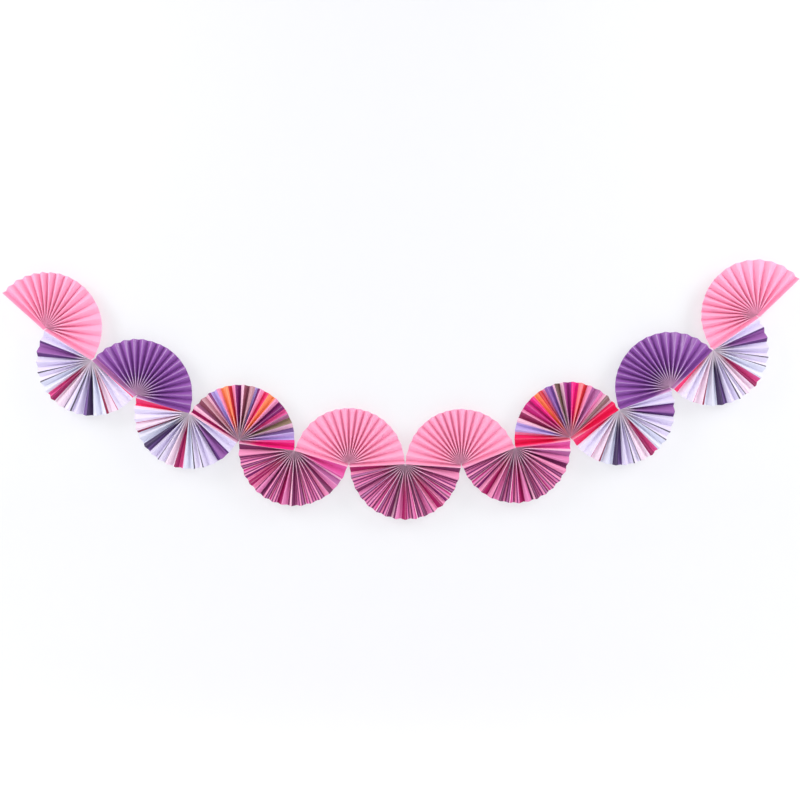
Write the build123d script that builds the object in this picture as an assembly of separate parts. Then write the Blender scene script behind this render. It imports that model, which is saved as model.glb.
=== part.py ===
"""Paper fan garland: half-round pleated fans in a chain, opening up and down in turn.

Millimetres. X runs along the garland, Z is up and the front faces -Y.
The origin is the middle of the left end flap, where the garland is fastened.
"""
import math
import os

from build123d import *

# Paper: every fan is one strip, pleated across its width
STRIP_WIDTH = 99.0
PAPER_THICKNESS = 0.15
PLEATS = 16
RIM_DEPTH = 7.6

# Gathered end: how much looser than a solid stack of paper the inner ends lie
GATHER = 1.4

# End flap: its slope against the plane of the garland in degrees, and how far it ends before the next hub
FLAP_SLOPE = 60.0
FLAP_GAP = 1.2

# Places along a panel, as shares of its length from the hub, between which it is laid flat
TWIST_SHARES = (0, 0.12, 0.5, 1)

# Chain: the slope of the left end flap, then the paper and the opening of each fan in degrees
FIRST_HEADING = -42.0
FANS = [
    ("pink", 170),
    ("white_stripe", 171),
    ("purple", 155),
    ("white_stripe", 164),
    ("multi_stripe", 155),
    ("magenta_stripe", 170),
    ("pink", 160),
    ("magenta_stripe", 173),
    ("pink", 155),
    ("magenta_stripe", 166),
    ("multi_stripe", 154),
    ("white_stripe", 167),
    ("purple", 155),
    ("white_stripe", 170),
    ("pink", 171),
]

# Sizes that follow from the ones above
PANELS = 2 * PLEATS
OPENINGS = [math.radians(opening) for paper, opening in FANS]
HUB_RADIUS = GATHER * PAPER_THICKNESS * PANELS / min(OPENINGS)
RIM_RADIUS = HUB_RADIUS + STRIP_WIDTH
PANEL_WIDTH = math.hypot(RIM_DEPTH, 2 * RIM_RADIUS * math.sin(max(OPENINGS) / PANELS / 2))
SLOPE = math.radians(FLAP_SLOPE)
FLAP_RISE = PANEL_WIDTH * math.cos(SLOPE)
FLAP_DEPTH = PANEL_WIDTH * math.sin(SLOPE)
HALF_LINK = (RIM_RADIUS + FLAP_GAP) / 2
STATIONS = [HUB_RADIUS + share * STRIP_WIDTH for share in TWIST_SHARES]


def pleat_section(radius, step):
    """Chord between two folds, depth over the folds and thickness across a fold, at one radius."""
    chord = 2 * radius * math.sin(step / 2)
    depth = math.sqrt(PANEL_WIDTH**2 - chord**2)
    slant = math.sqrt(PANEL_WIDTH**2 - PAPER_THICKNESS**2)
    spare = chord**2 - PAPER_THICKNESS**2
    fold = PAPER_THICKNESS * (chord * slant - PAPER_THICKNESS * depth) / spare
    return chord, depth, fold


def flap_corner(chord, reach):
    """Inner corner of the fold at an end flap, as a shift from its crest: into the fan, and forward."""
    flap = Vector(-math.cos(SLOPE), math.sin(SLOPE))
    panel = Vector(chord, reach).normalized()
    half_angle = math.radians(flap.get_angle(panel)) / 2
    shift = (flap + panel).normalized() * (PAPER_THICKNESS / math.sin(half_angle))
    return shift.X, shift.Y


def section_points(radius, opening):
    """Front and back points of the folded strip at one radius, from the left free edge to the right one.

    The fan opens upward from its apex at the origin, with both end folds at the back.
    """
    step = opening / PANELS
    left = math.pi / 2 + opening / 2
    chord, depth, fold = pleat_section(radius, step)
    inset, advance = flap_corner(chord, depth / 2 - fold + FLAP_DEPTH / 2)
    front = []
    back = []

    # End flap at each side: the free edge and the fold
    ends = []
    for angle, inward in ((left, -math.pi / 2), (left - opening, math.pi / 2)):
        along = Vector(math.cos(angle), 0, math.sin(angle))
        into = Vector(math.cos(angle + inward), 0, math.sin(angle + inward))
        crest = along * radius + Vector(0, FLAP_DEPTH / 2, 0)
        corner = crest + into * inset - Vector(0, advance, 0)
        edge_back = crest - into * FLAP_RISE - Vector(0, FLAP_DEPTH, 0)
        lift = into * math.sin(SLOPE) - Vector(0, math.cos(SLOPE), 0)
        edge_front = edge_back + lift * PAPER_THICKNESS
        ends.append(((edge_front, edge_back), (corner, crest)))

    # Folds between them, by turns at the front and at the back
    pairs = [ends[0][0], ends[0][1]]
    for number in range(1, PANELS):
        angle = left - number * step
        along = Vector(math.cos(angle), 0, math.sin(angle)) * radius
        crest = Vector(0, depth / 2, 0)
        corner = Vector(0, depth / 2 - fold, 0)
        if number % 2:
            pairs.append((along - crest, along - corner))
        else:
            pairs.append((along + corner, along + crest))
    pairs += [ends[1][1], ends[1][0]]

    for front_point, back_point in pairs:
        front.append(front_point)
        back.append(back_point)
    return front, back


def polygon(*points):
    """Flat face through the points."""
    return Face(Wire.make_polygon(points, close=True))


def folded_sheet(opening):
    """One pleated fan as a single sheet of paper."""
    fronts = []
    backs = []
    for radius in STATIONS:
        front, back = section_points(radius, opening)
        fronts.append(front)
        backs.append(back)
    inner = 0
    outer = len(STATIONS) - 1
    last = len(fronts[0]) - 1
    faces = []

    # Pleats: each panel twists, so it is laid in flat triangles
    for side in (fronts, backs):
        for lower, upper in zip(side, side[1:]):
            for column in range(1, last - 1):
                faces.append(polygon(lower[column], lower[column + 1], upper[column]))
                faces.append(polygon(lower[column + 1], upper[column + 1], upper[column]))

    # End flaps: flat, one face on each side, and closed along the free edge
    for side in (fronts, backs):
        for edge, fold in ((0, 1), (last, last - 1)):
            fold_line = [row[fold] for row in side]
            edge_line = [row[edge] for row in reversed(side)]
            faces.append(polygon(*fold_line, *edge_line))
    for edge in (0, last):
        front_line = [row[edge] for row in fronts]
        back_line = [row[edge] for row in reversed(backs)]
        faces.append(polygon(*front_line, *back_line))

    # Cut edges of the paper at the hub and at the rim
    for row in (inner, outer):
        for column in range(last):
            faces.append(polygon(fronts[row][column], fronts[row][column + 1], backs[row][column]))
            faces.append(polygon(fronts[row][column + 1], backs[row][column + 1], backs[row][column]))
    return Solid(Shell(faces))


def heading_vector(heading):
    """Direction along the chain for a slope in degrees."""
    return Vector(math.cos(math.radians(heading)), 0, math.sin(math.radians(heading)))


# Walk along the chain: from halfway between two hubs over the next hub to halfway again
os.makedirs("parts", exist_ok=True)
heading = FIRST_HEADING
middle = heading_vector(heading) * (HUB_RADIUS + STRIP_WIDTH / 2 - HALF_LINK)
for place, (paper, opening_degrees) in enumerate(FANS):
    number = place + 1
    opens_up = place % 2 == 0
    opening = math.radians(opening_degrees)
    apex_height = FLAP_RISE / 2 / math.sin(opening / 2)
    middle_to_hub = FLAP_RISE / 2 / math.tan(opening / 2) + HALF_LINK
    turn = 180 - opening_degrees
    next_heading = heading + turn if opens_up else heading - turn
    hub = middle + heading_vector(heading) * middle_to_hub
    at_hub = Pos(hub) * Rot(0, -(heading + next_heading) / 2, 0)
    upright = Rot(0, 0, 0) if opens_up else Rot(180, 0, 0)
    at_apex = at_hub * upright * Pos(0, 0, apex_height)

    export_step(at_apex * folded_sheet(opening), f"parts/fan_{number:02d}_{paper}.step")

    middle = hub + heading_vector(next_heading) * middle_to_hub
    heading = next_heading
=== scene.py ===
import math
import random

import bpy
import numpy as np
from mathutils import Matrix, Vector


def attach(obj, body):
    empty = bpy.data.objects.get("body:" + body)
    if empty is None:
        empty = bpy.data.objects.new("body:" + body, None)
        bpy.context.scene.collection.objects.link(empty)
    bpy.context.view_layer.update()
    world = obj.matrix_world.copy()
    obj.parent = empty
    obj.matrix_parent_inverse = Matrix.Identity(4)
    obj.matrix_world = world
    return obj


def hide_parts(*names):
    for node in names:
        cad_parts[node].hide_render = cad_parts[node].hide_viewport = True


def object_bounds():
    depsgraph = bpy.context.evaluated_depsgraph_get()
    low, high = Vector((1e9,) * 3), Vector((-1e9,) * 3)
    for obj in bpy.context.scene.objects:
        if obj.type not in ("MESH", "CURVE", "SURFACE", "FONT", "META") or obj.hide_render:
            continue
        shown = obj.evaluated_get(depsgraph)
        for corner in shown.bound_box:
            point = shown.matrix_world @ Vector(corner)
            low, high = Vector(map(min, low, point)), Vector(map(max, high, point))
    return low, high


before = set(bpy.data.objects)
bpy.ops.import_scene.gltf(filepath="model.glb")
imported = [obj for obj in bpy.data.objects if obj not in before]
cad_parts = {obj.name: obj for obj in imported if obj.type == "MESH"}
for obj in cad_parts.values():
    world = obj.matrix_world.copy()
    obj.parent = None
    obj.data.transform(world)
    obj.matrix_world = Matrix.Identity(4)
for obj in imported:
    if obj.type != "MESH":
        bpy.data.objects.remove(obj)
cad_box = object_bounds()
scene = bpy.context.scene
scene.view_settings.view_transform = "Standard"

# Sizes of the garland, in metres, as in the part's source
STRIP_WIDTH = 0.099
PAPER = 0.00015
PLEATS = 16
RIM_DEPTH = 0.0076
GATHER = 1.4
FLAP_SLOPE = math.radians(60.0)
FLAP_GAP = 0.0012
FIRST_HEADING = -42.0

# Each fan: node, paper, opening in degrees, and where its pleats crowd and how much
FANS = [
    ("fan_01_pink", "pink", 170, 0.3, 0.17),
    ("fan_02_white_stripe", "white_stripe", 171, 0.5, 0.05),
    ("fan_03_purple", "left_purple", 155, 0.55, 0.08),
    ("fan_04_white_stripe", "white_stripe", 164, 0.5, 0.05),
    ("fan_05_multi_stripe", "left_multi_stripe", 155, 0.45, 0.05),
    ("fan_06_magenta_stripe", "magenta_stripe", 170, 0.5, 0.06),
    ("fan_07_pink", "pink", 160, 0.5, 0.17),
    ("fan_08_magenta_stripe", "middle_magenta_stripe", 173, 0.5, 0.05),
    ("fan_09_pink", "pink", 155, 0.45, 0.17),
    ("fan_10_magenta_stripe", "magenta_stripe", 166, 0.5, 0.06),
    ("fan_11_multi_stripe", "right_multi_stripe", 154, 0.5, 0.05),
    ("fan_12_white_stripe", "white_stripe", 167, 0.5, 0.05),
    ("fan_13_purple", "right_purple", 155, 0.36, 0.18),
    ("fan_14_white_stripe", "white_stripe", 170, 0.5, 0.05),
    ("fan_15_pink", "pink", 171, 0.3, 0.19),
]

# Prints that run from right to left
REVERSED = (
    "fan_04_white_stripe",
    "fan_08_magenta_stripe",
    "fan_12_white_stripe",
    "fan_14_white_stripe",
)

# Where on its print a strip starts, in panels, and how many panels of print one panel of paper shows
WHOLE_PRINT = (0.0, 1.0)
PRINT_CUT = {
    "fan_02_white_stripe": (0.5, 0.95),
    "fan_05_multi_stripe": (1.55, 0.885),
    "fan_08_magenta_stripe": (0.2, 0.94),
    "fan_10_magenta_stripe": (2.2, 0.9),
    "fan_11_multi_stripe": (1.4, 0.92),
    "fan_14_white_stripe": (0.5, 0.972),
}

# Sizes that follow from the ones above
PANELS = 2 * PLEATS
STRIP_PANELS = PANELS + 2
OPENINGS = [math.radians(opening) for _, _, opening, _, _ in FANS]
HUB_RADIUS = GATHER * PAPER * PANELS / min(OPENINGS)
RIM_RADIUS = HUB_RADIUS + STRIP_WIDTH
PANEL_WIDTH = math.hypot(RIM_DEPTH, 2 * RIM_RADIUS * math.sin(max(OPENINGS) / PANELS / 2))
FLAP_RISE = PANEL_WIDTH * math.cos(FLAP_SLOPE)
FLAP_DEPTH = PANEL_WIDTH * math.sin(FLAP_SLOPE)
HALF_LINK = (RIM_RADIUS + FLAP_GAP) / 2

# Unevenness: the first fan's random seed, then how far the spacing varies as a share of it, and in metres
# a panel's bow, a fold's sway to the front or back, and a fold's length at the rim
FIRST_SEED = 100
UNEVEN_SPACING = 0.06
UNEVEN_BOW = 0.00035
UNEVEN_SWAY = 0.0004
UNEVEN_RIM = 0.0004

# How far the ridges stand out at the rim, and the valleys in
RIM_TOOTH = 0.0007

# How much the panels bend in an S between their folds, how much more at the hub, and where on the pleat that ends
SWELL = 0.15
HUB_SWELL = 0.8
HUB_SWELL_END = 0.6

# How much more the pleats are round-backed at the hub, where that ends, and the power that shapes a round back
HUB_CROWN = 0.8
HUB_CROWN_END = 0.5
ARCH_POWER = 0.75

# Folds: how far the middle of the paper lies inside them, and how far they are drawn in to be round
FOLD_INSET = 0.6 * PAPER
FOLD_ROUNDING = 0.5

# Least slope of a panel beside its folds, as a share of a flat panel's, and how much of the room inside a fold
# each half of the paper may fill
STEADY = 0.2
FOLD_ROOM = 0.4

# How near to the middle of the hub the end flaps reach
FLAP_END = 0.0003

# Mesh: shares across one panel, and along the pleat from a little inside the hub to the rim
ACROSS = (0.0, 0.035, 0.15, 0.32, 0.5, 0.68, 0.85, 0.965)
ALONG = (-0.007, 0.02, 0.05, 0.1, 0.16, 0.24, 0.33, 0.43, 0.54, 0.65, 0.76, 0.86, 0.94, 0.985, 1.0)

# Flat layout of a sheet, as shares of a square: both sides, the edges at the hub and rim, those of the end flaps
SIDE_LEFT = 0.01
SIDE_WIDTH = 0.98
SIDE_HEIGHT = 0.45
FRONT_BOTTOM = 0.01
BACK_BOTTOM = 0.49
EDGE_BOTTOM = 0.955
EDGE_STEP = 0.015
EDGE_HEIGHT = 0.006
FLAP_EDGE_LEFT = 0.02
FLAP_EDGE_STEP = 0.5
FLAP_EDGE_WIDTH = 0.45
FLAP_EDGE_BOTTOM = 0.985

# Surface of the paper: size and detail of its clouds and fibres, and the range of both that shows
CLOUD_SCALE = 55.0
CLOUD_DETAIL = 3.0
FIBRE_SCALE = 900.0
FIBRE_DETAIL = 4.0
NOISE_RANGE = (0.3, 0.7)
ROUGH_SPREAD = 0.07
BUMP_STRENGTH = 0.12
BUMP_DISTANCE = 0.0003

# Rubbed folds: the width of the pale line in panels at the hub and the rim and where on the pleat it stops
# narrowing, its soft edge, the fibres that break it up, and where and how far it fades towards the rim
RUB_HUB_WIDTH = 0.5
RUB_RIM_WIDTH = 0.07
RUB_WIDTH_END = 0.6
RUB_SOFT_EDGE = 0.8
RUB_FIBRES = (0.35, 0.62)
RUB_LEAST = 0.5
RUB_FADE = (0.05, 0.6)
RUB_RIM_SHARE = 0.3

# Part of the pleat over which the painted light at the hub fades: a pale colour that lifts the shade of the
# crowded pleats
PAINTED_HUB_LIGHT_FADE = (0.04, 0.34)


def linear(*srgb):
    """Scene-linear colour from 8-bit sRGB."""
    values = []
    for channel in srgb:
        share = channel / 255
        values.append(share / 12.92 if share <= 0.04045 else ((share + 0.055) / 1.055) ** 2.4)
    return (*values, 1.0)


# Colours of the prints
WHITE = linear(236, 227, 249)
LILAC_WHITE = linear(226, 216, 243)
BLUE_WHITE = linear(226, 226, 244)
ROSE_WHITE = linear(245, 222, 238)
GREY_LINE = linear(84, 78, 92)
PINK_LINE = linear(205, 95, 140)
CRIMSON_LINE = linear(140, 30, 70)
CRIMSON = linear(240, 52, 112)
DEEP_CRIMSON = linear(166, 22, 96)
WINE = linear(148, 16, 86)
ROSE = linear(232, 92, 158)
PLUM = linear(116, 86, 146)
NAVY = linear(66, 46, 88)
VIOLET = linear(94, 50, 118)
ORCHID = linear(156, 96, 170)
HOT_PINK = linear(240, 36, 138)
CORAL_PINK = linear(252, 96, 150)
CORAL = linear(255, 132, 140)
PALE_PINK = linear(253, 196, 220)
SOFT_PINK = linear(244, 146, 190)
LILAC = linear(196, 172, 230)
AMETHYST = linear(146, 96, 176)
MAUVE = linear(176, 104, 146)
TAN = linear(206, 152, 164)
OLIVE = linear(142, 120, 98)
BROWN = linear(146, 78, 98)
DARK_OLIVE = linear(104, 78, 68)
PURPLE_PLUM = linear(128, 34, 108)
ORANGE = linear(255, 152, 104)
RED = linear(216, 56, 66)
CRIMSON_RED = linear(240, 26, 92)
DEEP_PLUM = linear(118, 40, 90)
MAGENTA = linear(206, 48, 136)
DUSTY_PINK = linear(232, 132, 186)
DUSTY_MAUVE = linear(186, 106, 164)
HOT_MAUVE = linear(230, 88, 166)
PURPLE_MAGENTA = linear(168, 52, 138)
DARK_ROSE = linear(158, 50, 98)
GREY_OLIVE = linear(142, 108, 110)

# Colours of the plain papers, of a painted highlight, of rubbed folds and of painted light at the gathered ends
PINK_PAPER = linear(255, 172, 204)
PURPLE_PAPER = linear(148, 84, 170)
# Painted highlight for the left purple fan's end flap, which catches the light
PAINTED_FLAP_HIGHLIGHT_PURPLE = linear(196, 132, 186)
RUBBED = linear(250, 240, 248)
# Painted light at the hub: pale colours that lift the shade of the deep, crowded pleats at the gathered ends
PINK_PAINTED_HUB_LIGHT = linear(255, 190, 220)
PURPLE_PAINTED_HUB_LIGHT = linear(246, 192, 230)
WHITE_PAINTED_HUB_LIGHT = linear(255, 242, 252)
LEFT_MULTI_PAINTED_HUB_LIGHT = linear(226, 184, 212)
RIGHT_MULTI_PAINTED_HUB_LIGHT = linear(252, 170, 202)
MAGENTA_PAINTED_HUB_LIGHT = linear(240, 190, 218)
BLACK = (0.0, 0.0, 0.0, 1.0)
PURE_WHITE = (1.0, 1.0, 1.0, 1.0)

# Prints: each stripe as its width in panels and its colour, from the first pleat on.
# None stands for a run of the fine stripes below.
WHITE_STRIPES = [
    (2.2, LILAC_WHITE), (0.5, VIOLET), (1.7, ORCHID), (0.6, VIOLET), (3.0, LILAC_WHITE),
    (0.22, GREY_LINE), (1.4, WHITE), (0.32, GREY_LINE), (2.3, BLUE_WHITE),
    (1.0, ROSE), (1.1, WINE), (2.1, ROSE_WHITE),
    (0.16, GREY_LINE), (1.3, WHITE), (0.16, GREY_LINE), (2.4, LILAC_WHITE),
    (0.9, PLUM), (1.1, NAVY), (2.6, BLUE_WHITE),
    (0.3, CRIMSON_LINE), (1.6, ROSE_WHITE), (0.22, PINK_LINE), (3.2, WHITE), (1.5, CRIMSON),
]
LEFT_MULTI_STRIPES = [
    (0.9, PALE_PINK), (0.9, DEEP_CRIMSON), (0.8, PALE_PINK), (0.5, MAUVE), (1.0, BROWN),
    (1.0, TAN), (0.6, PALE_PINK), (0.5, PURPLE_PLUM), (1.3, LILAC), (0.8, SOFT_PINK),
    (1.6, ORANGE), (0.7, RED), (0.8, SOFT_PINK), (1.2, PURPLE_PLUM), (0.7, PALE_PINK),
    (1.1, BROWN), (1.1, TAN), (0.6, LILAC), (0.5, PURPLE_PLUM), (0.9, SOFT_PINK),
    (1.2, CRIMSON), (1.5, ORANGE), (0.9, SOFT_PINK), (1.7, PURPLE_PLUM), (1.2, ROSE),
    (0.8, MAUVE), (1.2, OLIVE), (0.8, PALE_PINK), (0.8, PLUM), (1.5, LILAC),
    (2.2, HOT_PINK), (1.5, CORAL_PINK),
]
RIGHT_MULTI_STRIPES = [
    (0.6, CORAL_PINK), (2.4, CRIMSON_RED), (0.6, SOFT_PINK), (1.8, LILAC), (0.9, PALE_PINK),
    (1.3, DARK_ROSE), (0.7, SOFT_PINK), (2.3, MAGENTA), (1.1, HOT_PINK), (1.1, ORANGE),
    (1.0, RED), (0.6, SOFT_PINK), (1.8, AMETHYST), (0.4, PALE_PINK), (1.1, DARK_OLIVE),
    (0.7, PALE_PINK), (1.7, PURPLE_MAGENTA), (1.6, HOT_PINK), (0.9, CORAL), (0.8, RED),
    (1.0, SOFT_PINK), (1.7, DUSTY_MAUVE), (0.8, DUSTY_PINK), (0.4, PALE_PINK), (1.2, GREY_OLIVE),
    (0.4, PALE_PINK), (2.8, CRIMSON_RED),
]
MAGENTA_START = [
    (0.9, DEEP_PLUM), (1.2, SOFT_PINK), (0.4, DEEP_PLUM), (3.2, None), (0.5, PURPLE_PLUM),
    (0.6, SOFT_PINK), (1.2, DEEP_CRIMSON), (0.8, SOFT_PINK), (0.3, DEEP_PLUM), (1.0, DUSTY_PINK),
    (0.8, DEEP_PLUM), (3.0, None), (0.9, DEEP_CRIMSON), (1.3, DUSTY_PINK), (0.4, DEEP_PLUM),
    (0.35, PALE_PINK), (0.7, DEEP_PLUM), (5.8, None),
]
MAGENTA_STRIPES = MAGENTA_START + [
    (1.0, SOFT_PINK), (0.8, DEEP_PLUM), (1.2, DUSTY_PINK), (0.9, DUSTY_MAUVE), (0.4, PALE_PINK),
    (2.4, HOT_MAUVE),
]
MIDDLE_MAGENTA_STRIPES = MAGENTA_START + [
    (0.6, DUSTY_PINK), (0.6, DEEP_PLUM), (2.4, None), (0.5, SOFT_PINK), (2.6, DEEP_CRIMSON),
]
FINE_STRIPES = [
    (0.36, DUSTY_PINK), (0.26, PURPLE_PLUM), (0.38, SOFT_PINK), (0.24, DEEP_PLUM), (0.3, DUSTY_MAUVE),
    (0.22, DEEP_PLUM), (0.2, PALE_PINK), (0.3, MAGENTA), (0.34, DUSTY_PINK), (0.28, DEEP_PLUM),
    (0.36, SOFT_PINK), (0.24, PURPLE_PLUM), (0.34, DUSTY_PINK), (0.2, DEEP_PLUM),
]
# Not a print: the end flap of the left purple fan is painted paler, a painted highlight where that flap catches
# the light
LEFT_PURPLE_WITH_PAINTED_FLAP_HIGHLIGHT = [(0.1, PAINTED_FLAP_HIGHLIGHT_PURPLE), (31.9, PURPLE_PAPER)]


def ray(angle):
    """Unit vector in the plane of the garland, at an angle from X towards Z."""
    return np.array([math.cos(angle), 0.0, math.sin(angle)])


def fold_angles(opening, crowd_at, crowd, dice):
    """Angles of the folds from the left, with pleats that stand a little closer in one place."""
    spacing = []
    for panel in range(PANELS):
        share = (panel + 0.5) / PANELS
        even = 1 - crowd * math.cos(2 * math.pi * (share - crowd_at))
        spacing.append(even * (1 + dice.uniform(-UNEVEN_SPACING, UNEVEN_SPACING)))
    edges = np.concatenate([[0.0], np.cumsum(spacing)])
    return edges / edges[-1] * opening


def flap_line(direction, inward, radius):
    """Free edge and fold of an end flap at one radius. Inward is the turn from the fold into the fan."""
    into = ray(direction + inward)
    fold = ray(direction) * radius + np.array([0.0, FLAP_DEPTH / 2, 0.0])
    fold = fold + into * FOLD_INSET * math.sin(FLAP_SLOPE)
    fold = fold - np.array([0.0, FOLD_INSET * math.cos(FLAP_SLOPE), 0.0])
    edge = fold - into * FLAP_RISE - np.array([0.0, FLAP_DEPTH, 0.0])
    return edge, fold


def panel_points(first, second, ridge, swell=0.0, back=0.0, bow=0.0):
    """Points across one panel, from its first fold to just before the second.

    Swell bends the panel in an S, back rounds it towards the ridge, and bow bends it to the front or back.
    """
    rise = second[1] - first[1]
    rising = rise * ridge > 0
    points = []
    for part in ACROSS:
        eased = (1 - math.cos(math.pi * part)) / 2
        arched = math.sin(math.pi / 2 * (part if rising else 1 - part)) ** ARCH_POWER
        arched = arched if rising else 1 - arched
        climb = part + (eased - part) * swell + (arched - part) * back
        climb = min(max(climb, STEADY * part), 1 - STEADY * (1 - part))
        shift = rise * (climb - part) + bow * math.sin(math.pi * part)
        points.append(first + (second - first) * part + np.array([0.0, shift, 0.0]))
    return points


def fan_grid(opening, crowd_at, crowd, crown, ridge, dice):
    """Middle of the folded paper as a grid of points (rows along the pleat, columns along the strip).

    The fan opens upward from its apex at the origin, with both end folds at the back. Crown is how far the
    pleats are round-backed, and ridge the side on which they are, -1 or 1 along Y.
    """
    angles = fold_angles(opening, crowd_at, crowd, dice)
    left = math.pi / 2 + opening / 2
    bows = [dice.uniform(-UNEVEN_BOW, UNEVEN_BOW) for _ in range(PANELS)]
    sways = [dice.uniform(-UNEVEN_SWAY, UNEVEN_SWAY) for _ in range(PANELS + 1)]
    teeth = [dice.uniform(-UNEVEN_RIM, UNEVEN_RIM) for _ in range(PANELS + 1)]
    rows = []
    for share in ALONG:
        radius = HUB_RADIUS + share * STRIP_WIDTH
        chords = 2 * radius * np.sin(np.diff(angles) / 2)
        depths = np.sqrt(PANEL_WIDTH**2 - chords**2)

        # Points on the folds, with the end flaps at both ends
        flap_radius = FLAP_END if share < 0 else radius
        left_edge, left_fold = flap_line(left - angles[0], -math.pi / 2, flap_radius)
        right_edge, right_fold = flap_line(left - angles[PANELS], math.pi / 2, flap_radius)
        line = [left_edge, left_fold]
        for number in range(1, PANELS):
            side = -1 if number % 2 else 1
            reach = (depths[number - 1] + depths[number]) / 4 - FOLD_INSET
            sway = sways[number] * math.sin(math.pi * share)
            tooth = share * (teeth[number] + (RIM_TOOTH if side == ridge else -RIM_TOOTH))
            across = np.array([0.0, side * reach + sway, 0.0])
            line.append(ray(left - angles[number]) * (radius + tooth) + across)
        line += [right_fold, right_edge]

        # Panels between them: the end flaps are flat
        swell = (SWELL + HUB_SWELL * max(0.0, 1 - share / HUB_SWELL_END)) * (1 - crown)
        back = crown * (1 + HUB_CROWN * max(0.0, 1 - share / HUB_CROWN_END))
        points = panel_points(left_edge, left_fold, ridge)
        for first, second, bow in zip(line[1:], line[2:], bows):
            points += panel_points(first, second, ridge, swell, back, bow * share)
        points += panel_points(right_fold, right_edge, ridge)
        points.append(right_edge)
        rows.append(points)
    return np.array(rows)


def rounded_folds(grid):
    """The grid with each fold drawn in a little, so that a crest is round and not knife-sharp."""
    soft = grid.copy()
    step = len(ACROSS)
    for column in range(step, grid.shape[1] - 1, step):
        between = (grid[:, column - 1] + grid[:, column + 1]) / 2
        soft[:, column] = grid[:, column] * (1 - FOLD_ROUNDING) + between * FOLD_ROUNDING
    return soft


def tilted(grid, angle):
    """The grid turned about Y, from X towards Z."""
    turned = grid.copy()
    turned[:, :, 0] = grid[:, :, 0] * math.cos(angle) - grid[:, :, 2] * math.sin(angle)
    turned[:, :, 2] = grid[:, :, 0] * math.sin(angle) + grid[:, :, 2] * math.cos(angle)
    return turned


def half_thickness(grid, parity):
    """Distance from the middle of the paper to its front (parity 1) or back (parity 0).

    It is half the paper's thickness, or less inside a fold, where the next panel leaves less room.
    """
    rows, columns, _ = grid.shape
    step = len(ACROSS)
    half = np.full((rows, columns), PAPER / 2)
    for column in range(columns):
        panel = min(column // step, STRIP_PANELS - 1)
        fold = panel if panel % 2 == parity else panel + 1
        if not 0 < fold < STRIP_PANELS:
            continue
        mirrored = grid[:, 2 * fold * step - column]
        if column == fold * step:
            mirrored = (grid[:, column - 1] + grid[:, column + 1]) / 2
        gap = np.linalg.norm(grid[:, column] - mirrored, axis=1)
        half[:, column] = np.minimum(half[:, column], FOLD_ROOM * gap)
    return half[:, :, None]


def sheet_faces(rows, columns):
    """Faces of a closed sheet: its front, its back, then its cut edges.

    The edges at the hub and the rim take turns, and after them those of the left and the right end flap.
    """
    start = rows * columns
    front = []
    back = []
    for row in range(rows - 1):
        for column in range(columns - 1):
            corner = row * columns + column
            front.append((corner, corner + 1, corner + columns + 1, corner + columns))
            corner += start
            back.append((corner, corner + columns, corner + columns + 1, corner + 1))
    edges = []
    for column in range(columns - 1):
        inner, outer = column, (rows - 1) * columns + column
        edges.append((inner, inner + start, inner + start + 1, inner + 1))
        edges.append((outer, outer + 1, outer + start + 1, outer + start))
    for row in range(rows - 1):
        first, last = row * columns, row * columns + columns - 1
        edges.append((first, first + columns, first + columns + start, first + start))
        edges.append((last, last + start, last + columns + start, last + columns))
    return front + back + edges


def add_layout(mesh, strip, rows, columns):
    """Flat layout of a sheet: its front, its back above it, and its cut edges in thin strips at the top."""
    start = rows * columns
    reach = np.array(ALONG)
    corners = np.zeros(len(mesh.loops), dtype=np.int32)
    mesh.loops.foreach_get("vertex_index", corners)
    is_back = corners >= start
    corner_row, corner_column = np.divmod(corners % start, columns)
    places = np.zeros((len(corners), 2))
    places[:, 0] = SIDE_LEFT + SIDE_WIDTH * strip[corner_column] / STRIP_PANELS
    places[:, 1] = np.where(is_back, BACK_BOTTOM, FRONT_BOTTOM) + SIDE_HEIGHT * reach[corner_row]

    side_corners = 4 * 2 * (rows - 1) * (columns - 1)
    edge_face = np.arange(len(corners) - side_corners) // 4
    far_edge = edge_face % 2
    on_flap = edge_face >= 2 * (columns - 1)
    flap_left = FLAP_EDGE_LEFT + FLAP_EDGE_STEP * far_edge
    flap_place = flap_left + FLAP_EDGE_WIDTH * reach[corner_row[side_corners:]]
    bottom = np.where(on_flap, FLAP_EDGE_BOTTOM, EDGE_BOTTOM + EDGE_STEP * far_edge)
    places[side_corners:, 0] = np.where(on_flap, flap_place, places[side_corners:, 0])
    places[side_corners:, 1] = bottom + EDGE_HEIGHT * is_back[side_corners:]
    layout = mesh.uv_layers.new(name="OFBake")
    layout.data.foreach_set("uv", places.ravel())


def smooth_sheet(mesh, rows, columns):
    """Smooth shading, with a sharp line only at the cut edges."""
    start = rows * columns
    mesh.polygons.foreach_set("use_smooth", np.ones(len(mesh.polygons), dtype=bool))
    ends = np.zeros(2 * len(mesh.edges), dtype=np.int32)
    mesh.edges.foreach_get("vertices", ends)
    first, second = ends.reshape(-1, 2).T
    row_first, column_first = np.divmod(first % start, columns)
    row_second, column_second = np.divmod(second % start, columns)
    on_rim = (row_first == row_second) & ((row_first == 0) | (row_first == rows - 1))
    on_flap = (column_first == column_second) & ((column_first == 0) | (column_first == columns - 1))
    one_side = (first < start) == (second < start)
    sharp = mesh.attributes.new("sharp_edge", "BOOLEAN", "EDGE")
    sharp.data.foreach_set("value", one_side & (on_rim | on_flap))


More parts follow.
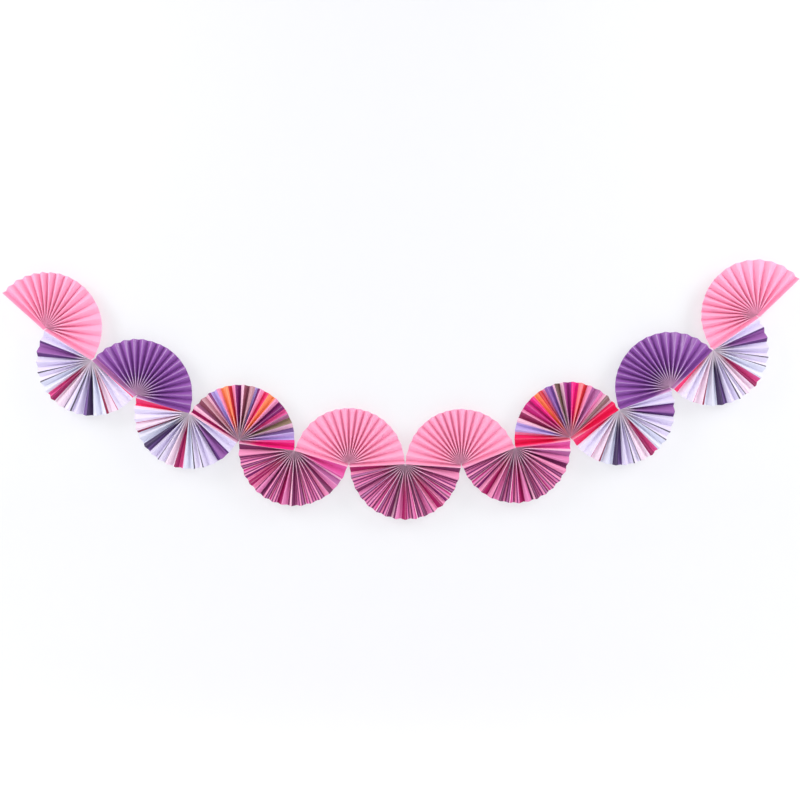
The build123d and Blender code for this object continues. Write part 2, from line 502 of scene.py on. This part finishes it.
def sheet_mesh(name, grid, reverse, print_start, print_rate):
    """Closed sheet of paper round a grid of points, with its print coordinates and a flat layout."""
    rows, columns, _ = grid.shape
    normals = np.cross(np.gradient(grid, axis=1), np.gradient(grid, axis=0))
    normals /= np.linalg.norm(normals, axis=2, keepdims=True)
    front = grid + normals * half_thickness(grid, 1)
    back = grid - normals * half_thickness(grid, 0)
    vertices = np.concatenate([front.reshape(-1, 3), back.reshape(-1, 3)])
    mesh = bpy.data.meshes.new(name)
    mesh.from_pydata(vertices.tolist(), [], sheet_faces(rows, columns))

    # For the material, in panels: place on the print, and distance from the nearest raised fold on each side.
    # Reach is the share of the way from the hub to the rim.
    strip = [panel + part for panel in range(STRIP_PANELS) for part in ACROSS]
    strip = np.array([*strip, STRIP_PANELS])
    printed = print_start + (STRIP_PANELS - strip if reverse else strip) * print_rate
    reach = np.array(ALONG)[:, None]
    from_back_fold = np.abs(strip % 2 - 1)
    for label, front_values, back_values in (
        ("strip", printed, printed),
        ("reach", reach, reach),
        ("crest", 1 - from_back_fold, from_back_fold),
    ):
        sides = [np.broadcast_to(values, (rows, columns)).ravel() for values in (front_values, back_values)]
        layer = mesh.attributes.new(label, "FLOAT", "POINT")
        layer.data.foreach_set("value", np.concatenate(sides))

    add_layout(mesh, strip, rows, columns)
    smooth_sheet(mesh, rows, columns)
    mesh.update()
    return mesh


def node(tree, kind, **values):
    """New shader node, with plain properties set by name."""
    made = tree.nodes.new(kind)
    for key, value in values.items():
        setattr(made, key, value)
    return made


def attribute(tree, name):
    """Value of one of the mesh's attributes."""
    return node(tree, "ShaderNodeAttribute", attribute_name=name).outputs["Fac"]


def fill(tree, socket, value):
    """Set an input to a number or colour, or link it to an output."""
    if isinstance(value, (int, float, tuple)):
        socket.default_value = value
    else:
        tree.links.new(value, socket)


def math_node(tree, operation, *values):
    """Result of one operation on numbers or outputs."""
    made = node(tree, "ShaderNodeMath", operation=operation)
    for socket, value in zip(made.inputs, values):
        fill(tree, socket, value)
    return made.outputs[0]


def ramp(tree, factor, stops):
    """Colour ramp in plain steps, from a list of places and colours."""
    made = node(tree, "ShaderNodeValToRGB")
    made.color_ramp.interpolation = "CONSTANT"
    elements = made.color_ramp.elements
    while len(elements) > 1:
        elements.remove(elements[-1])
    elements[0].position, elements[0].color = stops[0]
    for position, colour in stops[1:]:
        elements.new(position).color = colour
    tree.links.new(factor, made.inputs[0])
    return made


def mixed(tree, factor, first, second):
    """Mix of two colours. The node's colour sockets are inputs 6 and 7 and output 2."""
    made = node(tree, "ShaderNodeMix", data_type="RGBA")
    fill(tree, made.inputs[0], factor)
    fill(tree, made.inputs[6], first)
    fill(tree, made.inputs[7], second)
    return made.outputs[2]


def map_range(tree, value, span, to_low, to_high, smooth=True):
    """Value brought from a span of two numbers to the range between two others."""
    kind = "SMOOTHSTEP" if smooth else "LINEAR"
    made = node(tree, "ShaderNodeMapRange", interpolation_type=kind)
    tree.links.new(value, made.inputs[0])
    for socket, number in zip(made.inputs[1:5], (*span, to_low, to_high)):
        socket.default_value = number
    return made.outputs[0]


def noise(tree, where, scale, detail):
    """Value of a noise texture."""
    made = node(tree, "ShaderNodeTexNoise")
    made.inputs["Scale"].default_value = scale
    made.inputs["Detail"].default_value = detail
    tree.links.new(where, made.inputs["Vector"])
    return made.outputs["Fac"]


def seen_directly(tree):
    """1 where the camera, a reflection or a view through glass looks, and 0 for light on other surfaces."""
    path = node(tree, "ShaderNodeLightPath")
    seen = math_node(tree, "MAXIMUM", path.outputs["Is Camera Ray"], path.outputs["Is Glossy Ray"])
    return math_node(tree, "MAXIMUM", seen, path.outputs["Is Transmission Ray"])


def stripes(tree, bands):
    """Colour of a print by its place on the strip, or of a painted highlight where a band stands for one. Alpha 0
    in the wide stripes lets the fine ones show.
    """
    place = math_node(tree, "MULTIPLY", attribute(tree, "strip"), 1 / STRIP_PANELS)
    scale = PANELS / sum(width for width, colour in bands)
    stops = []
    at = 0.0
    for width, colour in bands:
        shade = DUSTY_PINK[:3] + (0.0,) if colour is None else colour
        stops.append(((1 + at * scale) / STRIP_PANELS if stops else 0.0, shade))
        at += width
    wide = ramp(tree, place, stops)
    if all(colour is not None for width, colour in bands):
        return wide.outputs[0]

    period = sum(width for width, colour in FINE_STRIPES)
    periods = math_node(tree, "MULTIPLY", attribute(tree, "strip"), 1 / period)
    fine_stops = []
    at = 0.0
    for width, colour in FINE_STRIPES:
        fine_stops.append((at / period, colour))
        at += width
    fine = ramp(tree, math_node(tree, "FRACT", periods), fine_stops)
    return mixed(tree, wide.outputs[1], fine.outputs[0], wide.outputs[0])


def paper_material(name, colour, painted_hub_colour, wear, hub, rough=0.6, shine=0.35, cloudy=0.04):
    """Paper in a plain colour or a list of bands, with fibres, rubbed folds and painted light at the hub.

    The bands are print, and on the left purple paper also a painted highlight on the end flap. Wear is how far
    the folds are rubbed pale, hub how strong the painted light at the gathered ends is (a pale colour that lifts
    the shade of the crowded pleats), and cloudy how strong the grain is.
    """
    material = bpy.data.materials.new(name)
    material.use_nodes = True
    tree = material.node_tree
    shader = tree.nodes["Principled BSDF"]
    base = stripes(tree, colour) if isinstance(colour, list) else colour

    # Fibres and cloudiness of the paper
    where = node(tree, "ShaderNodeTexCoord").outputs["Object"]
    cloud = noise(tree, where, CLOUD_SCALE, CLOUD_DETAIL)
    fibre = noise(tree, where, FIBRE_SCALE, FIBRE_DETAIL)
    clouds = map_range(tree, cloud, NOISE_RANGE, 0.0, cloudy, smooth=False)
    fibres = map_range(tree, fibre, NOISE_RANGE, 0.0, cloudy, smooth=False)
    body = mixed(tree, math_node(tree, "ADD", clouds, fibres), base, BLACK)

    # Raised folds are rubbed pale, more so where they crowd together at the hub
    crest = attribute(tree, "crest")
    reach = attribute(tree, "reach")
    width = map_range(tree, reach, (0.0, RUB_WIDTH_END), RUB_HUB_WIDTH, RUB_RIM_WIDTH)
    near_fold = math_node(tree, "SUBTRACT", 1.0, math_node(tree, "DIVIDE", crest, width))
    near_fold = map_range(tree, near_fold, (0.0, RUB_SOFT_EDGE), 0.0, 1.0)
    patchy = map_range(tree, fibre, RUB_FIBRES, RUB_LEAST, 1.0, smooth=False)
    near_hub = map_range(tree, reach, RUB_FADE, 1.0, RUB_RIM_SHARE)
    rubbed = math_node(tree, "MULTIPLY", math_node(tree, "MULTIPLY", near_fold, patchy), near_hub)
    worn = mixed(tree, math_node(tree, "MULTIPLY", rubbed, wear), body, RUBBED)

    # Painted light: the gathered ends are mixed towards a pale colour that lifts the shade of the deep, crowded
    # pleats
    painted_hub_light = math_node(tree, "MULTIPLY", map_range(tree, reach, PAINTED_HUB_LIGHT_FADE, 1.0, 0.0), hub)
    tree.links.new(mixed(tree, painted_hub_light, worn, painted_hub_colour), shader.inputs["Base Color"])

    smoothest, roughest = rough - ROUGH_SPREAD, rough + ROUGH_SPREAD
    roughness = map_range(tree, fibre, NOISE_RANGE, smoothest, roughest, smooth=False)
    tree.links.new(roughness, shader.inputs["Roughness"])
    shader.inputs["Specular IOR Level"].default_value = shine
    bump = node(tree, "ShaderNodeBump")
    bump.inputs["Strength"].default_value = BUMP_STRENGTH
    bump.inputs["Distance"].default_value = BUMP_DISTANCE
    tree.links.new(fibre, bump.inputs["Height"])
    tree.links.new(bump.outputs["Normal"], shader.inputs["Normal"])
    return material


# Papers: material, and how far the pleats are round-backed
# The hub values set how strong the painted light at the gathered ends is, a pale colour that lifts the shade of
# the crowded pleats
PURPLE_LOOK = dict(wear=0.8, hub=0.6, rough=0.4, shine=1.0)
MAGENTA_LOOK = dict(wear=0.75, hub=0.55, rough=0.54)
MATERIALS = {
    "pink": paper_material(
        "pink_paper", PINK_PAPER, PINK_PAINTED_HUB_LIGHT, wear=0.18, hub=0.75, rough=0.68, shine=0.2, cloudy=0.025),
    "left_purple": paper_material("left_purple_paper", LEFT_PURPLE_WITH_PAINTED_FLAP_HIGHLIGHT, PURPLE_PAINTED_HUB_LIGHT, **PURPLE_LOOK),
    "right_purple": paper_material("right_purple_paper", PURPLE_PAPER, PURPLE_PAINTED_HUB_LIGHT, **PURPLE_LOOK),
    "white_stripe": paper_material("white_striped_paper", WHITE_STRIPES, WHITE_PAINTED_HUB_LIGHT, wear=0.3, hub=0.8),
    "left_multi_stripe": paper_material(
        "left_multi_striped_paper", LEFT_MULTI_STRIPES, LEFT_MULTI_PAINTED_HUB_LIGHT, wear=0.7, hub=0.6, rough=0.54),
    "right_multi_stripe": paper_material(
        "right_multi_striped_paper", RIGHT_MULTI_STRIPES, RIGHT_MULTI_PAINTED_HUB_LIGHT, wear=0.6, hub=0.7, rough=0.54),
    "magenta_stripe": paper_material(
        "magenta_striped_paper", MAGENTA_STRIPES, MAGENTA_PAINTED_HUB_LIGHT, **MAGENTA_LOOK),
    "middle_magenta_stripe": paper_material(
        "middle_magenta_striped_paper", MIDDLE_MAGENTA_STRIPES, MAGENTA_PAINTED_HUB_LIGHT, **MAGENTA_LOOK),
}
CROWNS = {
    "pink": 0.5,
    "left_purple": 0.45,
    "right_purple": 0.45,
    "white_stripe": 0.3,
    "left_multi_stripe": 0.2,
    "right_multi_stripe": 0.2,
    "magenta_stripe": 0.2,
    "middle_magenta_stripe": 0.2,
}


def heading_vector(heading):
    """Direction along the chain for a slope in degrees."""
    return ray(math.radians(heading))


# Walk along the chain as the part's source does
heading = FIRST_HEADING
middle = heading_vector(heading) * (HUB_RADIUS + STRIP_WIDTH / 2 - HALF_LINK)
pieces = []
for place, (fan, paper, opening_degrees, crowd_at, crowd) in enumerate(FANS):
    dice = random.Random(FIRST_SEED + place)
    opens_up = place % 2 == 0
    opening = math.radians(opening_degrees)
    apex_height = FLAP_RISE / 2 / math.sin(opening / 2)
    middle_to_hub = FLAP_RISE / 2 / math.tan(opening / 2) + HALF_LINK
    turn = 180 - opening_degrees
    next_heading = heading + turn if opens_up else heading - turn
    hub = middle + heading_vector(heading) * middle_to_hub

    # Sheet: folded upright, turned over if the fan opens downward, and set in the chain
    grid = fan_grid(opening, crowd_at, crowd, CROWNS[paper], -1 if opens_up else 1, dice)
    grid = rounded_folds(grid) + np.array([0.0, 0.0, apex_height])
    if not opens_up:
        grid = grid * np.array([1.0, -1.0, -1.0])
    grid = tilted(grid, math.radians((heading + next_heading) / 2)) + hub

    print_start, print_rate = PRINT_CUT.get(fan, WHOLE_PRINT)
    mesh = sheet_mesh(fan + "_paper", grid, fan in REVERSED, print_start, print_rate)
    piece = bpy.data.objects.new(fan + "_paper", mesh)
    scene.collection.objects.link(piece)
    pieces.append(piece)
    piece.data.materials.append(MATERIALS[paper])
    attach(piece, "root")
    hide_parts(fan)

    middle = hub + heading_vector(next_heading) * middle_to_hub
    heading = next_heading

# Backdrop: a white wall close behind the garland, running out into a floor, seen from its front only
WALL_Y = 0.022
WALL_TOP = 2.2
FLOOR_Z = -0.75
FLOOR_FRONT = -4.0
HALF_WIDTH = 4.0
BEND_RADIUS = 0.4
BEND_STEPS = 8
CENTRE_X = (cad_box[0][0] + cad_box[1][0]) / 2
profile = [(WALL_Y, WALL_TOP), (WALL_Y, FLOOR_Z + BEND_RADIUS)]
for bend_step in range(1, BEND_STEPS + 1):
    bend = math.radians(90 * bend_step / BEND_STEPS)
    bend_y = WALL_Y - BEND_RADIUS * (1 - math.cos(bend))
    bend_z = FLOOR_Z + BEND_RADIUS * (1 - math.sin(bend))
    profile.append((bend_y, bend_z))
profile.append((FLOOR_FRONT, FLOOR_Z))
cove_points = []
for y, z in profile:
    cove_points.append((CENTRE_X - HALF_WIDTH, y, z))
    cove_points.append((CENTRE_X + HALF_WIDTH, y, z))
cove_faces = [(2 * i, 2 * i + 2, 2 * i + 3, 2 * i + 1) for i in range(len(profile) - 1)]
cove_mesh = bpy.data.meshes.new("backdrop")
cove_mesh.from_pydata(cove_points, [], cove_faces)
cove_mesh.polygons.foreach_set("use_smooth", [True] * len(cove_mesh.polygons))
cove_mesh.update()
cove = bpy.data.objects.new("backdrop", cove_mesh)
scene.collection.objects.link(cove)

# Its material: a matt surface that keeps the shadows, mixed with plain white more and more away from the garland
BACKDROP_COLOUR = (0.81, 0.82, 0.87, 1.0)
BACKDROP_ROUGHNESS = 0.9
BACKDROP_SHINE = 0.1
WHITE_CENTRE = (CENTRE_X, 0.0, -0.15)
WHITE_DISTANCES = (0.9, 1.9)
NEAR_WHITE = 0.58
FAR_WHITE = 0.97
backdrop = bpy.data.materials.new("backdrop_white")
backdrop.use_nodes = True
tree = backdrop.node_tree
shader = tree.nodes["Principled BSDF"]
shader.inputs["Base Color"].default_value = BACKDROP_COLOUR
shader.inputs["Roughness"].default_value = BACKDROP_ROUGHNESS
shader.inputs["Specular IOR Level"].default_value = BACKDROP_SHINE
clear = node(tree, "ShaderNodeBsdfTransparent")
glow = node(tree, "ShaderNodeEmission")
glow.inputs["Color"].default_value = PURE_WHITE
geometry = node(tree, "ShaderNodeNewGeometry")
far = node(tree, "ShaderNodeVectorMath", operation="DISTANCE")
tree.links.new(geometry.outputs["Position"], far.inputs[0])
far.inputs[1].default_value = WHITE_CENTRE
white = map_range(tree, far.outputs["Value"], WHITE_DISTANCES, NEAR_WHITE, FAR_WHITE)
lit = node(tree, "ShaderNodeMixShader")
tree.links.new(math_node(tree, "MULTIPLY", seen_directly(tree), white), lit.inputs[0])
tree.links.new(shader.outputs[0], lit.inputs[1])
tree.links.new(glow.outputs[0], lit.inputs[2])
one_sided = node(tree, "ShaderNodeMixShader")
tree.links.new(geometry.outputs["Backfacing"], one_sided.inputs[0])
tree.links.new(lit.outputs[0], one_sided.inputs[1])
tree.links.new(clear.outputs[0], one_sided.inputs[2])
tree.links.new(one_sided.outputs[0], tree.nodes["Material Output"].inputs["Surface"])
cove_mesh.materials.append(backdrop)

# World: white to look at, and a weaker even light on the paper
WORLD_LIGHT = 0.34
world = bpy.data.worlds.new("studio")
scene.world = world
world.use_nodes = True
sky = world.node_tree
background = sky.nodes["Background"]
background.inputs["Color"].default_value = PURE_WHITE
extra = math_node(sky, "MULTIPLY", seen_directly(sky), 1 - WORLD_LIGHT)
sky.links.new(math_node(sky, "ADD", extra, WORLD_LIGHT), background.inputs["Strength"])

# Lamps: name, place beside the middle of the garland, size and watts
AIM = (CENTRE_X, 0.0, -0.1)
FRONT_LAMPS = [
    ("left_box", (-1.7, -0.8, 0.75), (0.8, 1.1), 21.5),
    ("right_box", (1.7, -0.8, 0.75), (0.8, 1.1), 21.5),
    ("front_box", (0.0, -2.4, 0.4), (1.6, 1.2), 13),
]
BACK_LAMPS = [
    ("left_back_box", (-1.5, 1.8, 0.75), (0.9, 1.1), 23),
    ("right_back_box", (1.5, 1.8, 0.75), (0.9, 1.1), 23),
]


def softbox(name, offset, size, watts):
    """Rectangular lamp that faces the garland."""
    light = bpy.data.lights.new(name, "AREA")
    light.shape = "RECTANGLE"
    light.size, light.size_y = size
    light.energy = watts
    lamp = bpy.data.objects.new(name, light)
    x, y, z = offset
    lamp.location = (CENTRE_X + x, y, z)
    towards = Vector(AIM) - Vector((CENTRE_X + x, y, z))
    lamp.rotation_euler = towards.to_track_quat("-Z", "Y").to_euler()
    scene.collection.objects.link(lamp)
    return lamp


for name, offset, size, watts in FRONT_LAMPS:
    softbox(name, offset, size, watts)

# The back lamps light the back of the paper through the wall: only the papers cast their shadows
blockers = bpy.data.collections.new("papers")
for piece in pieces:
    blockers.objects.link(piece)
for name, offset, size, watts in BACK_LAMPS:
    lamp = softbox(name, offset, size, watts)
    lamp.light_linking.blocker_collection = blockers

# Camera: level, in front of the garland. The image's size and the origin's place in it are in pixels.
PIXEL = 0.0018315
IMAGE_WIDTH = 800
ORIGIN_X = 24.35
ORIGIN_Y = 310.07
DISTANCE = 2.2
SENSOR = 36.0
camera_data = bpy.data.cameras.new("camera")
camera_data.sensor_fit = "HORIZONTAL"
camera_data.sensor_width = SENSOR
camera_data.lens = SENSOR * DISTANCE / (IMAGE_WIDTH * PIXEL)
camera_data.clip_start = 0.01
camera = bpy.data.objects.new("camera", camera_data)
view_x = (IMAGE_WIDTH / 2 - ORIGIN_X) * PIXEL
view_z = (ORIGIN_Y - IMAGE_WIDTH / 2) * PIXEL
camera.location = (view_x, -DISTANCE, view_z)
camera.rotation_euler = (math.pi / 2, 0.0, 0.0)
scene.collection.objects.link(camera)
scene.camera = camera
